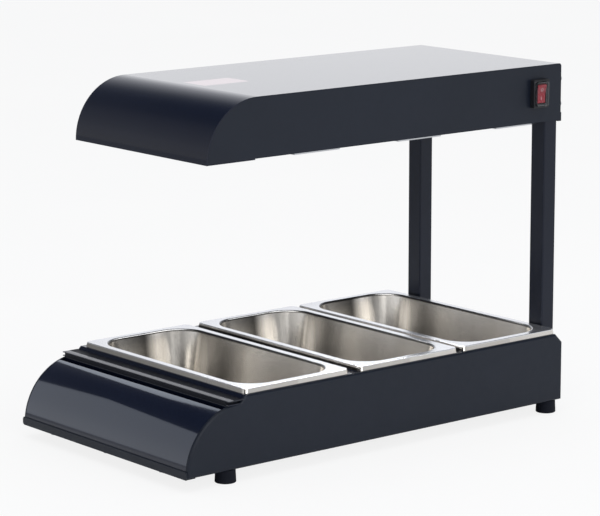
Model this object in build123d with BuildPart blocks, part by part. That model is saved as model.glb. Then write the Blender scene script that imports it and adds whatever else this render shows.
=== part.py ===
from build123d import *
import math
import os

# Heat lamp food warmer: a base that holds three lift-out pans, two rear posts and a lamp canopy.
# Millimetres. +Z is up, the curved fronts face -Y and the switch is on the +X side.
# The origin is on the floor, at the centre of the footprint.

# Sheet metal
sheet = 1.2
bend_radius = 2.5
seam_gap = 0.2

# Base
base_height = 86.4
base_flange_width = 4.5
base_bend_radius = 3.5
platform_rise = 8.0
slope_run = 8.0
rear_chamfer_run = 11.0
rear_chamfer_drop = 11.0
deck_flange_depth = 10.0
deck_strip_width = 18.0
deck_wing_inset = 0.6
vent_slot_width = 6.0
shell_hem_radius = 1.5
shell_foot_depth = 12.0
lip_height = 10.5
lip_return = 15.0
lip_corner = 3.5
lip_edge_radius = 0.9
panel_flange = 8.0
brace_width = 14.0
brace_depth = 20.0

# Feet
foot_height = 16.0
foot_radius = 12.0
foot_flare = 0.8
foot_edge_radius = 1.2
foot_seat_depth = 8.0
foot_boss_radius = 6.0
foot_screw_grip = 5.0
foot_side_inset = 13.0
foot_front_inset = 66.0
foot_rear_inset = 16.0

# Pans
pan_length = 325.0
pan_width = 161.5
pan_gap = 12.0
pan_count = 3
middle_pan_slide = 3.0
rear_pan_slide = -3.0
pan_depth = 65.0
pan_sheet = 0.8
pan_flange = 11.5
pan_skirt = 5.8
pan_skirt_flare = 0.9
pan_corner = 7.0
pan_mouth_corner = 36.0
pan_mouth_round = 2.5
pan_draft = 12.0
pan_floor_corner = 26.0
pan_floor_round = 12.0
pan_rim_radius = 0.65
pan_slit_width = 1.6
pan_side_margin = 6.2
pan_front_margin = 2.2
pan_rear_margin = 3.7
well_clearance = 4.2
well_lip_depth = 5.0

# Posts
post_width = 24.5
post_depth = 21.5
post_wall = 1.5
post_corner = 2.0
post_foot_level = 14.0
post_socket_depth = 52.0
post_cap_depth = 8.0
post_notch_clearance = 0.5
post_bolt_low = 14.0
post_bolt_high = 46.0

# Canopy
serving_height = 267.2
canopy_side_setback = 37.5
canopy_front_setback = 61.1
canopy_rear_reach = 5.0
canopy_height = 74.0
canopy_flange = 10.0
canopy_rear_corner = 4.0
canopy_rear_drop = 12.0
nose_return_depth = 71.0
rear_lip_height = 11.0
crossbar_height = 24.0
crossbar_depth = 16.0
crossbar_level = 5.0

# Lamps
lamp_count = 3
lamp_pitch = 163.5
lamp_rear_inset = 64.0
lamp_side_inset = 14.2
lamp_frame_width = 70.0
lamp_frame_reach = 3.0
window_clearance = 0.3
reflector_sheet = 0.8
reflector_rim = 3.0
reflector_straight = 12.0
reflector_rise = 13.0
reflector_inset = 15.0
tube_radius = 5.0
tube_end_inset = 17.0
tube_level = 10.0
tube_tip_radius = 2.2
tube_tip_height = 3.5
tube_tip_taper = 20.0
holder_size = 14.0
holder_grip = 9.0
holder_clearance = 0.1
guard_rod_radius = 1.4
guard_wire_radius = 1.0
guard_wire_count = 9
guard_rod_spacing = 44.0
guard_end_inset = 25.0

# Switch
switch_rear_inset = 41.0
switch_level = 39.0
switch_width = 26.0
switch_height = 36.0
switch_corner = 2.0
switch_proud = 7.0
switch_edge_radius = 0.6
switch_body_width = 20.0
switch_body_height = 29.0
switch_body_depth = 24.0
switch_hole_clearance = 0.3
switch_window_width = 15.0
switch_window_height = 26.0
switch_pocket_depth = 9.0
rocker_clearance = 0.6
rocker_tilt = 8.0
rocker_pivot_depth = 4.0
rocker_thickness = 6.0
pivot_radius = 1.5
pivot_clearance = 0.05
cap_margin = 2.5
cap_proud = 4.0
cap_wall = 0.9
cap_corner = 3.0
cap_edge_radius = 1.3
terminal_width = 6.3
terminal_length = 8.0
terminal_spacing = 9.0

# Fasteners, wiring and cable inlet
screw_radius = 2.0
screw_head_radius = 3.8
screw_head_height = 2.2
screw_length = 9.0
screw_hole_radius = 2.2
base_screw_side_inset = 58.0
base_screw_inset = 5.0
canopy_screw_inset = 5.0
canopy_screw_length = 3.6
canopy_screw_low = 22.0
canopy_screw_high = 54.0
bolt_radius = 3.0
bolt_hole_radius = 3.2
bolt_head_radius = 5.0
bolt_head_height = 3.5
nut_height = 4.0
gland_radius = 8.0
gland_thread_radius = 6.0
gland_dome_radius = 6.4
gland_taper = 8.0
gland_reach = 14.0
gland_collar = 3.0
gland_bore_radius = 3.2
gland_side = -60.0
gland_level = 42.0
block_length = 44.0
block_width = 18.0
block_height = 15.0
block_poles = 3
block_groove = 2.0
block_side = -20.0
loom_radius = 2.5
loom_bend = 12.0
loom_lead = 15.0

# Places worked out from the sizes above
pan_pitch = pan_width + pan_gap
base_width = pan_length + 2 * pan_side_margin
nose_radius = base_height - platform_rise
wells_length = (pan_count - 1) * pan_pitch + pan_width
nose_length = sheet + nose_radius + slope_run
base_length = nose_length + pan_front_margin + wells_length + pan_rear_margin
overall_length = base_length + post_depth + canopy_rear_reach + gland_reach
base_front = -overall_length / 2
base_rear = base_front + base_length
base_nose = base_front + sheet
base_bottom = foot_height
deck_level = base_bottom + base_height
ledge_level = deck_level - platform_rise
nose_center = base_nose + nose_radius
slope_top = nose_center + slope_run
strip_front = nose_center - deck_strip_width
first_well_center = slope_top + pan_front_margin + pan_width / 2
well_centers = [first_well_center + index * pan_pitch for index in range(pan_count)]
pan_slides = [0, middle_pan_slide, rear_pan_slide]
pan_centers = [center + slide for center, slide in zip(well_centers, pan_slides)]
pan_top = deck_level + pan_skirt
inner_half_width = base_width / 2 - base_flange_width - seam_gap
base_screw_spacing = base_width / 2 - base_screw_side_inset
canopy_width = base_width - 2 * canopy_side_setback
canopy_front = base_front + canopy_front_setback
canopy_rear = base_rear + post_depth + canopy_rear_reach
canopy_bottom = deck_level + serving_height
canopy_top = canopy_bottom + canopy_height
canopy_side_bottom = canopy_bottom + sheet
canopy_inner_half = canopy_width / 2 - sheet
tray_bottom = canopy_side_bottom + sheet + seam_gap
tray_top = tray_bottom + sheet
tray_half_width = canopy_inner_half - bend_radius
first_lamp_center = canopy_rear - lamp_rear_inset - (lamp_count - 1) * lamp_pitch
lamp_centers = [first_lamp_center + index * lamp_pitch for index in range(lamp_count)]
lamp_frame_length = canopy_width - 2 * lamp_side_inset
lamp_mouth = canopy_bottom - lamp_frame_reach
tube_length = lamp_frame_length - 2 * tube_end_inset
tube_height = canopy_bottom + tube_level
guard_wire_pitch = (lamp_frame_length - 2 * guard_end_inset) / (guard_wire_count - 1)
post_outer = canopy_inner_half - seam_gap
post_center_x = post_outer - post_width / 2
post_center_y = base_rear + post_depth / 2
post_foot = base_bottom + post_foot_level
post_top = canopy_bottom + post_socket_depth
switch_y = canopy_rear - switch_rear_inset
switch_z = canopy_bottom + switch_level
switch_face = canopy_width / 2 + switch_proud
switch_terminal_tip = canopy_width / 2 - switch_body_depth - terminal_length
pivot_x = switch_face - rocker_pivot_depth
loom_side = switch_terminal_tip - loom_lead
side_names = {-1: "left", 1: "right"}
station_names = ["front", "middle", "rear"]


def save(part, name):
    """Labels a finished piece and writes it under its own name."""
    part.label = name
    export_step(part, f"parts/{name}.step")


def base_side(side):
    """Side panel of the base: its edge is bent inwards all round, and notched for the deck's wing."""
    outer = side * base_width / 2
    wing_seat = ledge_level - sheet - seam_gap
    waist = nose_radius * math.sqrt(0.5)
    with BuildPart() as panel:
        with BuildSketch(Plane.YZ.offset(outer)):
            with BuildLine():
                ThreePointArc(
                    (base_nose, base_bottom),
                    (nose_center - waist, base_bottom + waist),
                    (nose_center, ledge_level),
                )
                Polyline(
                    (nose_center, ledge_level),
                    (slope_top, deck_level),
                    (base_rear - rear_chamfer_run, deck_level),
                    (base_rear, deck_level - rear_chamfer_drop),
                    (base_rear, base_bottom),
                    (base_nose, base_bottom),
                )
            make_face()
        extrude(amount=-side * base_flange_width)
        faces = panel.faces().sort_by(Axis.X)
        outer_face = faces[-1] if side > 0 else faces[0]
        fillet(outer_face.edges(), base_bend_radius)
        inner_face = panel.faces().sort_by(Axis.X)[0 if side > 0 else -1]
        offset(amount=-sheet, openings=inner_face)
        with Locations((outer, strip_front, wing_seat)):
            Box(
                2 * base_flange_width + 2 * sheet,
                deck_strip_width,
                platform_rise,
                align=(Align.CENTER, Align.MIN, Align.MIN),
                mode=Mode.SUBTRACT,
            )
    return panel.part


def base_screw_places():
    """Centres of the screws under the base and the level of their heads' seats."""
    front = base_nose + (sheet + shell_foot_depth) / 2
    rear = base_rear - base_screw_inset
    columns = [step * base_screw_spacing for step in (-1, 0, 1)]
    front_places = [(x, front, base_bottom - sheet) for x in columns]
    rear_places = [(x, rear, base_bottom) for x in columns]
    return front_places + rear_places


def base_screw_holes():
    """Cuts the holes of the screws under the base in the piece being built."""
    with Locations(base_screw_places()):
        Cylinder(screw_hole_radius, 4 * screw_length, mode=Mode.SUBTRACT)


def base_screws():
    """Pan-head screws that hold the lip, the front skin, the rear panel and the floor of the base."""
    with BuildPart() as screws:
        with Locations(base_screw_places()):
            Cylinder(screw_radius, screw_length, align=(Align.CENTER, Align.CENTER, Align.MIN))
            Cylinder(screw_head_radius, screw_head_height, align=(Align.CENTER, Align.CENTER, Align.MAX))
    return screws.part


def front_shell():
    """Curved front skin: flush between the side flanges, with a rolled hem below the slot."""
    inner_radius = nose_radius - sheet
    hem_reach = deck_strip_width + vent_slot_width + shell_hem_radius
    hem_center_radius = nose_radius - shell_hem_radius
    hem_rise = math.sqrt(hem_center_radius**2 - hem_reach**2)
    hem_angle = math.atan2(hem_rise, hem_reach)

    def on_arc(radius, angle):
        return (nose_center - radius * math.cos(angle), base_bottom + radius * math.sin(angle))

    outer_arc = [on_arc(nose_radius, hem_angle * share) for share in (0, 0.5, 1)]
    inner_arc = [on_arc(inner_radius, hem_angle * share) for share in (1, 0.5, 0)]
    with BuildPart() as shell:
        with BuildSketch(Plane.YZ):
            with BuildLine():
                ThreePointArc(outer_arc[0], outer_arc[1], outer_arc[2])
                Line(outer_arc[2], inner_arc[0])
                ThreePointArc(inner_arc[0], inner_arc[1], inner_arc[2])
                Line(inner_arc[2], outer_arc[0])
            make_face()
            with Locations(on_arc(hem_center_radius, hem_angle)):
                Circle(shell_hem_radius)
            with Locations((base_nose + sheet / 2, base_bottom)):
                Rectangle(shell_foot_depth, sheet, align=(Align.MIN, Align.MIN))
        extrude(amount=inner_half_width, both=True)
        base_screw_holes()
    return shell.part


def front_lip():
    """Trim along the foot of the front: a low upright leg with rounded ends over a flat return."""
    with BuildPart() as lip:
        with BuildSketch(Plane.XZ.offset(-base_front)):
            with Locations((0, base_bottom - sheet)):
                RectangleRounded(base_width, lip_height, lip_corner, align=(Align.CENTER, Align.MIN))
        extrude(amount=-sheet)
        fillet(lip.faces().sort_by(Axis.Y)[0].edges(), lip_edge_radius)
        with Locations((0, base_front + lip_edge_radius, base_bottom)):
            Box(
                base_width - 2 * lip_corner,
                lip_return - lip_edge_radius,
                sheet,
                align=(Align.CENTER, Align.MIN, Align.MAX),
            )
        base_screw_holes()
    return lip.part


def deck():
    """Top of the base: a strip, a slope, a platform with a well for each pan, and a rear chamfer."""
    flange_bottom = ledge_level - deck_flange_depth
    well_inset = pan_flange - pan_sheet - well_clearance
    well_length = pan_length - 2 * well_inset
    well_width = pan_width - 2 * well_inset
    well_corner = pan_mouth_corner + pan_sheet + well_clearance
    wing_root = inner_half_width - sheet
    wing_tip = base_width / 2 - deck_wing_inset
    wing_middle = (wing_root + wing_tip) / 2
    with BuildPart() as top:
        with BuildSketch(Plane.YZ):
            with BuildLine():
                Polyline(
                    (strip_front, flange_bottom),
                    (strip_front, ledge_level),
                    (nose_center, ledge_level),
                    (slope_top, deck_level),
                    (base_rear - rear_chamfer_run, deck_level),
                    (base_rear, deck_level - rear_chamfer_drop),
                    (base_rear, flange_bottom),
                    close=True,
                )
            make_face()
        extrude(amount=inner_half_width, both=True)
        fillet(top.edges().filter_by(Axis.X).group_by(Axis.Y)[0].sort_by(Axis.Z)[-1], bend_radius)
        offset(amount=-sheet, openings=top.faces().sort_by(Axis.Z)[0])
        with Locations([(side * wing_middle, strip_front, ledge_level) for side in side_names]):
            Box(
                wing_tip - wing_root,
                deck_strip_width - seam_gap,
                sheet,
                align=(Align.CENTER, Align.MIN, Align.MAX),
            )
        with BuildSketch(Plane.XY.offset(deck_level)):
            with Locations([(0, center) for center in well_centers]):
                RectangleRounded(well_length + 2 * sheet, well_width + 2 * sheet, well_corner + sheet)
        extrude(amount=-well_lip_depth)
        with BuildSketch(Plane.XY.offset(deck_level)):
            with Locations([(0, center) for center in well_centers]):
                RectangleRounded(well_length, well_width, well_corner)
        extrude(amount=-well_lip_depth, mode=Mode.SUBTRACT)
    return top.part


def deck_brace(gap_index):
    """Channel under the deck, between two wells."""
    center = well_centers[gap_index] + pan_pitch / 2
    length = 2 * (inner_half_width - sheet - seam_gap)
    with BuildPart() as brace:
        with Locations((0, center, deck_level - sheet)):
            Box(length, brace_width, brace_depth, align=(Align.CENTER, Align.CENTER, Align.MAX))
        fillet(brace.edges().filter_by(Axis.X).group_by(Axis.Z)[0], bend_radius)
        offset(amount=-sheet, openings=brace.faces().sort_by(Axis.Z)[-1])
    return brace.part


def rear_panel():
    """Back of the base, bent forwards at its edges, with the holes of the post bolts."""
    height = ledge_level - deck_flange_depth - seam_gap - base_bottom
    with BuildPart() as panel:
        with Locations((0, base_rear, base_bottom)):
            Box(2 * inner_half_width, panel_flange, height, align=(Align.CENTER, Align.MAX, Align.MIN))
        offset(amount=-sheet, openings=panel.faces().sort_by(Axis.Y)[:1] + panel.faces().filter_by(Axis.X))
        with BuildSketch(Plane.XZ.offset(-base_rear)):
            with Locations(post_bolt_places()):
                Circle(bolt_hole_radius)
        extrude(amount=panel_flange / 2, both=True, mode=Mode.SUBTRACT)
        base_screw_holes()
    return panel.part


def bottom_plate():
    """Floor of the base, over the flanges of the sides, with a rim that stiffens it."""
    front = base_nose + 2 * sheet + shell_foot_depth + 2 * seam_gap
    rear = base_rear - sheet - seam_gap
    half_width = base_width / 2 - sheet - base_bend_radius
    with BuildPart() as plate:
        with Locations((0, front, base_bottom + sheet + seam_gap)):
            Box(2 * half_width, rear - front, panel_flange, align=(Align.CENTER, Align.MIN, Align.MIN))
        offset(amount=-sheet, openings=plate.faces().sort_by(Axis.Z)[-1])
        base_screw_holes()
        with Locations([(x, y, base_bottom) for x, y in foot_places().values()]):
            Cylinder(screw_hole_radius, 4 * panel_flange, mode=Mode.SUBTRACT)
    return plate.part


def foot_places():
    """Centres of the four feet, seen from above."""
    across = base_width / 2 - foot_side_inset
    front = base_front + foot_front_inset
    rear = base_rear - foot_rear_inset
    return {
        "foot_front_left": (-across, front),
        "foot_front_right": (across, front),
        "foot_rear_left": (-across, rear),
        "foot_rear_right": (across, rear),
    }


def foot(place):
    """Rubber foot: slightly flared, with a rounded tread, a boss on top and a recess for its screw."""
    with BuildPart() as pad:
        with BuildSketch(Plane.XZ.offset(-place[1])):
            with BuildLine():
                Polyline(
                    (place[0], 0),
                    (place[0] + foot_radius + foot_flare, 0),
                    (place[0] + foot_radius, foot_height),
                    (place[0], foot_height),
                    close=True,
                )
            make_face()
        revolve(axis=Axis((place[0], place[1], 0), (0, 0, 1)))
        fillet(pad.edges().filter_by(GeomType.CIRCLE).group_by(Axis.Z)[0], foot_edge_radius)
        with Locations((place[0], place[1], foot_height)):
            Cylinder(foot_boss_radius, sheet + seam_gap, align=(Align.CENTER, Align.CENTER, Align.MIN))
        with Locations(Plane((place[0], place[1], 0), z_dir=(0, 0, -1))):
            CounterBoreHole(
                radius=screw_radius + seam_gap,
                counter_bore_radius=screw_head_radius + seam_gap,
                counter_bore_depth=foot_seat_depth,
            )
    return pad.part


def foot_screws():
    """One screw up through each foot and the base's floor, its head on the step of the recess."""
    shank = foot_height - foot_seat_depth + foot_screw_grip
    with BuildPart() as screws:
        for place in foot_places().values():
            with Locations((place[0], place[1], foot_seat_depth - screw_head_height)):
                Cylinder(screw_head_radius, screw_head_height, align=(Align.CENTER, Align.CENTER, Align.MIN))
            with Locations((place[0], place[1], foot_seat_depth)):
                Cylinder(screw_radius, shank, align=(Align.CENTER, Align.CENTER, Align.MIN))
    return screws.part


def rounded_outline(center, level, length, width, corner):
    """Rounded rectangle on a level, centred on one of the pans."""
    with BuildSketch(Plane.XY.offset(level)) as outline:
        with Locations((0, center)):
            RectangleRounded(length, width, corner)
    return outline.sketch


def pan(center):
    """Stainless pan: flat flange, short flared skirt slit at its corners, drafted walls, rounded floor."""
    mouth_length = pan_length - 2 * pan_flange
    mouth_width = pan_width - 2 * pan_flange
    floor_length = mouth_length - 2 * pan_draft
    floor_width = mouth_width - 2 * pan_draft
    floor_level = pan_top - pan_depth
    skirt_top = pan_top - pan_sheet
    skirt_bottom = pan_top - pan_skirt
    top_length = pan_length - 2 * pan_skirt_flare
    top_width = pan_width - 2 * pan_skirt_flare
    double_sheet = 2 * pan_sheet
    inner_corner = pan_corner - pan_sheet

    with BuildPart() as skirt:
        upper = rounded_outline(center, skirt_top, top_length, top_width, pan_corner)
        lower = rounded_outline(center, skirt_bottom, pan_length, pan_width, pan_corner)
        loft([upper, lower])
        extrude(upper, amount=pan_sheet)
        fillet(skirt.faces().sort_by(Axis.Z)[-1].edges(), pan_rim_radius)
        upper = rounded_outline(
            center,
            skirt_top,
            top_length - double_sheet,
            top_width - double_sheet,
            inner_corner,
        )
        lower = rounded_outline(
            center,
            skirt_bottom,
            pan_length - double_sheet,
            pan_width - double_sheet,
            inner_corner,
        )
        loft([upper, lower], mode=Mode.SUBTRACT)
        reach_x = pan_length / 2 - pan_corner / 2
        reach_y = pan_width / 2 - pan_corner / 2
        for x, y in ((1, 1), (-1, 1), (-1, -1), (1, -1)):
            turn = math.degrees(math.atan2(y, x))
            with Locations(Location((x * reach_x, center + y * reach_y, skirt_bottom), (0, 0, turn))):
                Box(
                    2 * pan_corner,
                    pan_slit_width,
                    pan_skirt - double_sheet,
                    align=(Align.CENTER, Align.CENTER, Align.MIN),
                    mode=Mode.SUBTRACT,
                )
    with BuildPart() as hollow:
        loft([
            rounded_outline(center, pan_top, mouth_length, mouth_width, pan_mouth_corner),
            rounded_outline(center, floor_level + pan_sheet, floor_length, floor_width, pan_floor_corner),
        ])
        fillet(hollow.faces().sort_by(Axis.Z)[0].edges(), pan_floor_round - pan_sheet)
    with BuildPart() as body:
        loft([
            rounded_outline(
                center,
                skirt_top,
                mouth_length + double_sheet,
                mouth_width + double_sheet,
                pan_mouth_corner + pan_sheet,
            ),
            rounded_outline(
                center,
                floor_level,
                floor_length + double_sheet,
                floor_width + double_sheet,
                pan_floor_corner + pan_sheet,
            ),
        ])
        fillet(body.faces().sort_by(Axis.Z)[0].edges(), pan_floor_round)
        add(skirt.part)
        add(hollow.part, mode=Mode.SUBTRACT)
        mouth_face = body.faces().sort_by(Axis.Z)[-1]
        fillet(mouth_face.inner_wires()[0].edges(), pan_mouth_round)
    return body.part


def post_bolt_places():
    """Centres of the post bolts on the rear panel, as X and Z."""
    levels = [post_foot + post_bolt_low, post_foot + post_bolt_high]
    return [(side * post_center_x, level) for side in (-1, 1) for level in levels]


def post(side):
    """Box-section post with bolt holes at its foot."""
    with BuildPart() as tube:
        with BuildSketch(Plane.XY.offset(post_foot)):
            with Locations((side * post_center_x, post_center_y)):
                RectangleRounded(post_width, post_depth, post_corner)
                Rectangle(post_width - 2 * post_wall, post_depth - 2 * post_wall, mode=Mode.SUBTRACT)
        extrude(amount=post_top - post_foot)
        with BuildSketch(Plane.XZ.offset(-post_center_y)):
            with Locations([place for place in post_bolt_places() if place[0] * side > 0]):
                Circle(bolt_hole_radius)
        extrude(amount=post_depth, both=True, mode=Mode.SUBTRACT)
    return tube.part


def post_cap(side):
    """Plastic plug that closes the foot of a post."""
    with BuildPart() as cap:
        with BuildSketch(Plane.XY.offset(post_foot)):
            with Locations((side * post_center_x, post_center_y)):
                RectangleRounded(post_width, post_depth, post_corner)
        extrude(amount=-sheet)
        with BuildSketch(Plane.XY.offset(post_foot)):
            with Locations((side * post_center_x, post_center_y)):
                Rectangle(post_width - 2 * post_wall - seam_gap, post_depth - 2 * post_wall - seam_gap)
        extrude(amount=post_cap_depth)
    return cap.part


def post_bolts():
    """Four bolts through the posts and the rear panel, each with a hexagon nut inside the base."""
    head_back = base_rear + post_depth
    nut_front = base_rear - sheet
    with BuildPart() as bolts:
        for x, z in post_bolt_places():
            with BuildSketch(Plane((x, head_back, z), z_dir=(0, 1, 0))):
                RegularPolygon(bolt_head_radius, 6)
            extrude(amount=bolt_head_height)
            with BuildSketch(Plane((x, head_back, z), z_dir=(0, -1, 0))):
                Circle(bolt_radius)
            extrude(amount=head_back - nut_front + nut_height)
            with BuildSketch(Plane((x, nut_front, z), z_dir=(0, -1, 0))):
                RegularPolygon(bolt_head_radius, 6)
            extrude(amount=nut_height)
    return bolts.part


def canopy_profile(inset, plane):
    """Side view of the canopy: a quarter-round nose, a flat top and a rounded rear edge."""
    radius = canopy_height - inset
    center = canopy_front + canopy_height
    waist = radius * math.sqrt(0.5)
    rear_corner = canopy_rear_corner - inset
    rear = canopy_rear - inset
    top = canopy_top - inset
    rear_waist = rear_corner * (1 - math.sqrt(0.5))
    bottom = canopy_bottom + inset
    foot = math.sqrt(radius**2 - inset**2)
    with BuildSketch(plane) as outline:
        with BuildLine():
            ThreePointArc((center - foot, bottom), (center - waist, canopy_bottom + waist), (center, top))
            Line((center, top), (rear - rear_corner, top))
            ThreePointArc(
                (rear - rear_corner, top),
                (rear - rear_waist, top - rear_waist),
                (rear, top - rear_corner),
            )
            Polyline((rear, top - rear_corner), (rear, bottom), (center - foot, bottom))
        make_face()
    return outline.sketch


def canopy_cover():
    """One bent sheet: a strip under the nose, the round nose, the flat top and a short rear drop."""
    with BuildPart() as cover:
        extrude(canopy_profile(0, Plane.YZ), amount=canopy_width / 2, both=True)
        extrude(canopy_profile(sheet, Plane.YZ), amount=canopy_width / 2, both=True, mode=Mode.SUBTRACT)
        nose_end = canopy_front + nose_return_depth
        with Locations((0, nose_end, canopy_bottom)):
            Box(
                canopy_width,
                canopy_rear - nose_end,
                canopy_height - canopy_rear_drop,
                align=(Align.CENTER, Align.MIN, Align.MIN),
                mode=Mode.SUBTRACT,
            )
    return cover.part


def post_holes(bottom, height):
    """Boxes that clear the posts where they pass through the canopy's underside."""
    width = post_width + 2 * post_notch_clearance
    depth = post_depth + 2 * post_notch_clearance
    with Locations([(side * post_center_x, post_center_y, bottom) for side in (-1, 1)]):
        Box(width, depth, height, align=(Align.CENTER, Align.CENTER, Align.MIN), mode=Mode.SUBTRACT)


def canopy_side(side):
    """Side of the canopy: flat sheet with bent edges that carry the cover, notched for the post."""
    outer = side * canopy_width / 2
    with BuildPart() as panel:
        extrude(canopy_profile(sheet + seam_gap, Plane.YZ.offset(outer)), amount=-side * canopy_flange)
        inner_face = panel.faces().sort_by(Axis.X)[0 if side > 0 else -1]
        offset(amount=-sheet, openings=inner_face)
        with Locations((side * (canopy_inner_half - canopy_flange), post_center_y, canopy_bottom)):
            Box(
                2 * canopy_flange,
                post_depth + 2 * post_notch_clearance,
                2 * canopy_flange,
                mode=Mode.SUBTRACT,
            )
        if side > 0:
            with Locations((outer, switch_y, switch_z)):
                Box(
                    4 * sheet,
                    switch_body_width + 2 * switch_hole_clearance,
                    switch_body_height + 2 * switch_hole_clearance,
                    mode=Mode.SUBTRACT,
                )
        with BuildSketch(Plane.XZ.offset(-canopy_rear)):
            with Locations([place for place in canopy_screw_places() if place[0] * side > 0]):
                Circle(screw_hole_radius)
        extrude(amount=canopy_flange, both=True, mode=Mode.SUBTRACT)
    return panel.part


def canopy_screw_places():
    """Centres of the screws of the canopy's rear panel, as X and Z."""
    across = canopy_width / 2 - canopy_screw_inset
    levels = [canopy_bottom + canopy_screw_low, canopy_bottom + canopy_screw_high]
    return [(side * across, level) for side in (-1, 1) for level in levels]


def canopy_screws():
    """Pan-head screws through the canopy's rear panel into the flanges of its sides."""
    with BuildPart() as screws:
        for x, z in canopy_screw_places():
            with BuildSketch(Plane((x, canopy_rear, z), z_dir=(0, 1, 0))):
                Circle(screw_head_radius)
            extrude(amount=screw_head_height)
            with BuildSketch(Plane((x, canopy_rear, z), z_dir=(0, -1, 0))):
                Circle(screw_radius)
            extrude(amount=canopy_screw_length)
    return screws.part


def canopy_rear_panel():
    """Back of the canopy, below the cover's rear drop, with the hole of the cable gland."""
    top = canopy_top - canopy_rear_drop - seam_gap
    with BuildPart() as panel:
        with Locations((0, canopy_rear, canopy_side_bottom)):
            Box(canopy_width, sheet, top - canopy_side_bottom, align=(Align.CENTER, Align.MAX, Align.MIN))
        with BuildSketch(Plane.XZ.offset(-canopy_rear)):
            with Locations((gland_side, canopy_bottom + gland_level)):
                Circle(gland_thread_radius + seam_gap)
            with Locations(canopy_screw_places()):
                Circle(screw_hole_radius)
        extrude(amount=2 * sheet, both=True, mode=Mode.SUBTRACT)
    return panel.part


def canopy_rear_lip():
    """Trim along the rear foot of the canopy: an upright leg behind it and a return below it."""
    with BuildPart() as lip:
        with Locations((0, canopy_rear, canopy_bottom)):
            Box(canopy_width, sheet, rear_lip_height, align=(Align.CENTER, Align.MIN, Align.MIN))
        with Locations((0, canopy_rear + sheet, canopy_bottom)):
            Box(
                canopy_width,
                canopy_rear + sheet - (post_center_y + post_depth / 2 + post_notch_clearance),
                sheet,
                align=(Align.CENTER, Align.MAX, Align.MIN),
            )
    return lip.part


def canopy_tray():
    """Underside of the canopy, resting on the sides' flanges, with a window for each lamp."""
    front = canopy_front + nose_return_depth - canopy_flange
    rear = canopy_rear - sheet - seam_gap - sheet - seam_gap
    with BuildPart() as tray:
        with Locations((0, front, tray_bottom)):
            Box(2 * tray_half_width, rear - front, canopy_flange, align=(Align.CENTER, Align.MIN, Align.MIN))
        offset(amount=-sheet, openings=tray.faces().sort_by(Axis.Z)[-1])
        with Locations([(0, center, tray_bottom) for center in lamp_centers]):
            Box(
                lamp_frame_length + 2 * window_clearance,
                lamp_frame_width + 2 * window_clearance,
                4 * sheet,
                mode=Mode.SUBTRACT,
            )
        post_holes(tray_bottom - sheet, 2 * canopy_flange)
    return tray.part


def crossbar():
    """Channel that ties the tops of the two posts together inside the canopy."""
    length = 2 * (post_center_x - post_width / 2)
    with BuildPart() as bar:
        with Locations((0, post_center_y, canopy_bottom + crossbar_level)):
            Box(length, crossbar_depth, crossbar_height, align=(Align.CENTER, Align.CENTER, Align.MIN))
        offset(amount=-sheet, openings=bar.faces().sort_by(Axis.Y)[0])
    return bar.part


def lamp_reflector(center):
    """Polished trough over a lamp tube: a straight mouth, tapered roof and a rim on the tray."""
    taper_start = lamp_mouth + reflector_straight

    def outline(level, inset):
        with BuildSketch(Plane.XY.offset(level)) as shape:
            with Locations((0, center)):
                Rectangle(lamp_frame_length, lamp_frame_width - 2 * inset)
        return shape.sketch

    with BuildPart() as trough:
        extrude(outline(lamp_mouth, 0), amount=reflector_straight)
        loft([outline(taper_start, 0), outline(taper_start + reflector_rise, reflector_inset)])
        offset(amount=-reflector_sheet, openings=trough.faces().sort_by(Axis.Z)[0])
        with BuildSketch(Plane.XY.offset(tray_top)):
            with Locations((0, center)):
                Rectangle(lamp_frame_length + 2 * reflector_rim, lamp_frame_width + 2 * reflector_rim)
                Rectangle(
                    lamp_frame_length - reflector_sheet,
                    lamp_frame_width - reflector_sheet,
                    mode=Mode.SUBTRACT,
                )
        extrude(amount=reflector_sheet)
    return trough.part


def lamp_tube(center):
    """Quartz tube along X with a small sealed tip at its middle."""
    with BuildPart() as tube:
        with BuildSketch(Plane.YZ):
            with Locations((center, tube_height)):
                Circle(tube_radius)
        extrude(amount=tube_length / 2, both=True)
        with BuildSketch(Plane.XY.offset(tube_height + tube_radius - seam_gap)):
            with Locations((0, center)):
                Circle(tube_tip_radius)
        extrude(amount=tube_tip_height, taper=tube_tip_taper)
    return tube.part


def lamp_holders(center):
    """Ceramic blocks that grip both ends of a tube and sit on the reflector's end walls."""
    outer = lamp_frame_length / 2 - reflector_sheet
    inner = tube_length / 2 - holder_grip
    with BuildPart() as holders:
        for side in (-1, 1):
            with BuildSketch(Plane.YZ.offset(side * inner)):
                with Locations((center, tube_height)):
                    RectangleRounded(holder_size, holder_size, bend_radius)
            extrude(amount=side * (outer - inner))
            with BuildSketch(Plane.YZ.offset(side * inner)):
                with Locations((center, tube_height)):
                    Circle(tube_radius + holder_clearance)
            extrude(amount=side * holder_grip, mode=Mode.SUBTRACT)
    return holders.part


def lamp_guard(center):
    """Wire guard in the mouth of a reflector: two long rods carry the cross wires."""
    rod_half = lamp_frame_length / 2 - reflector_sheet
    wire_half = lamp_frame_width / 2 - reflector_sheet
    level = lamp_mouth + 2 * guard_rod_radius
    first_wire = guard_end_inset - lamp_frame_length / 2
    wire_places = [(first_wire + index * guard_wire_pitch, level) for index in range(guard_wire_count)]
    with BuildPart() as guard:
        with BuildSketch(Plane.YZ):
            with Locations([(center + side * guard_rod_spacing / 2, level) for side in (-1, 1)]):
                Circle(guard_rod_radius)
        extrude(amount=rod_half, both=True)
        with BuildSketch(Plane.XZ.offset(-center)):
            with Locations(wire_places):
                Circle(guard_wire_radius)
        extrude(amount=wire_half, both=True)
    return guard.part


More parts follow.
